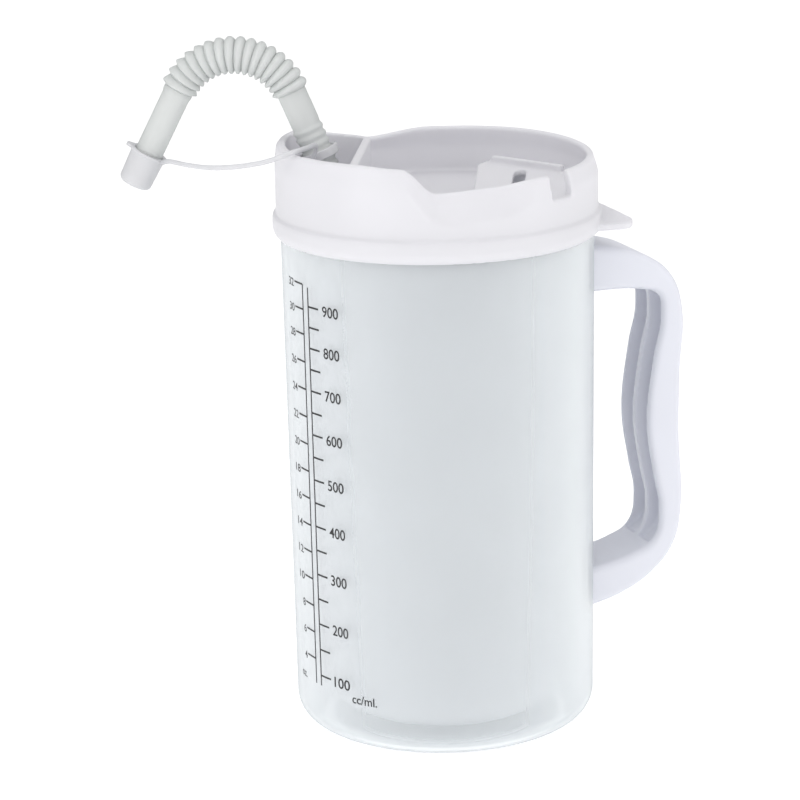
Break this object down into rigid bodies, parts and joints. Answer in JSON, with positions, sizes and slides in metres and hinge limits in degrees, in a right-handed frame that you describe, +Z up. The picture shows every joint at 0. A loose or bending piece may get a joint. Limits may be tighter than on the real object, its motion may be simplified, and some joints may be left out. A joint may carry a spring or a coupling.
{
  "type": "insulated drinking mug",
  "caption": "Double-wall insulated drinking mug with a side handle, a push-fit lid with a drinking lip, and a flexible straw with a tethered cap.",
  "frame": {"origin": "middle of the flat base, on the surface the mug stands on", "axes": "+Z up along the mug's axis; +X through the middle of the handle"},
  "size_m": [0.1773, 0.107, 0.2286],
  "materials": {
    "frosted_shell": "frosted clear styrene, smooth",
    "liner": "natural polypropylene, satin",
    "white_plastic": "cool white polypropylene, satin",
    "straw": "translucent natural polyethylene, satin"
  },
  "bodies": {
    "mug": {"outer_shell": "frosted_shell", "inner_liner": "liner", "handle": "white_plastic"},
    "lid": {"lid": "white_plastic"},
    "straw": {"straw_tube": "straw", "tether_ring": "straw", "cap_tether": "straw"},
    "bellows_1": {"straw_bellows_1": "straw"},
    "bellows_2": {"straw_bellows_2": "straw"},
    "bellows_3": {"straw_bellows_3": "straw"},
    "mouthpiece": {"straw_bellows_4": "straw", "straw_mouthpiece": "straw"},
    "cap": {"straw_cap": "straw"}
  },
  "joints": [
    {"name": "lid_lift", "type": "slide", "parent": "mug", "child": "lid", "axis": [0, 0, 1], "range_m": [0, 0.06]},
    {"name": "straw_slide", "type": "slide", "parent": "lid", "child": "straw", "axis": [-0.3077, 0.1467, 0.9401], "range_m": [-0.004, 0.018]},
    {"name": "straw_bend_1", "type": "hinge", "parent": "straw", "child": "bellows_1", "pos_m": [-0.04408, 0.02103, 0.21569], "axis": [0.4305, 0.9026, 0], "range_deg": [0, 32.33], "deforming": ["straw_bellows_1", "cap_tether"]},
    {"name": "straw_bend_2", "type": "hinge", "parent": "bellows_1", "child": "bellows_2", "pos_m": [-0.05283, 0.0252, 0.22227], "axis": [0.4305, 0.9026, 0], "range_deg": [0, 32.33], "deforming": ["straw_bellows_2"]},
    {"name": "straw_bend_3", "type": "hinge", "parent": "bellows_2", "child": "bellows_3", "pos_m": [-0.06339, 0.03024, 0.22265], "axis": [0.4305, 0.9026, 0], "range_deg": [0, 32.33], "deforming": ["straw_bellows_3"]},
    {"name": "straw_bend_4", "type": "hinge", "parent": "bellows_3", "child": "mouthpiece", "pos_m": [-0.0725, 0.03458, 0.21671], "axis": [0.4305, 0.9026, 0], "range_deg": [0, 32.33], "deforming": ["straw_bellows_4"]},
    {"name": "cap_pull", "type": "slide", "parent": "mouthpiece", "child": "cap", "axis": [-0.4126, 0.1968, -0.8894], "range_m": [0, 0.014]}
  ],
  "couplings": [
    {"joint": "straw_bend_2", "follows": "straw_bend_1", "ratio": 1},
    {"joint": "straw_bend_3", "follows": "straw_bend_1", "ratio": 1},
    {"joint": "straw_bend_4", "follows": "straw_bend_1", "ratio": 1}
  ]
}
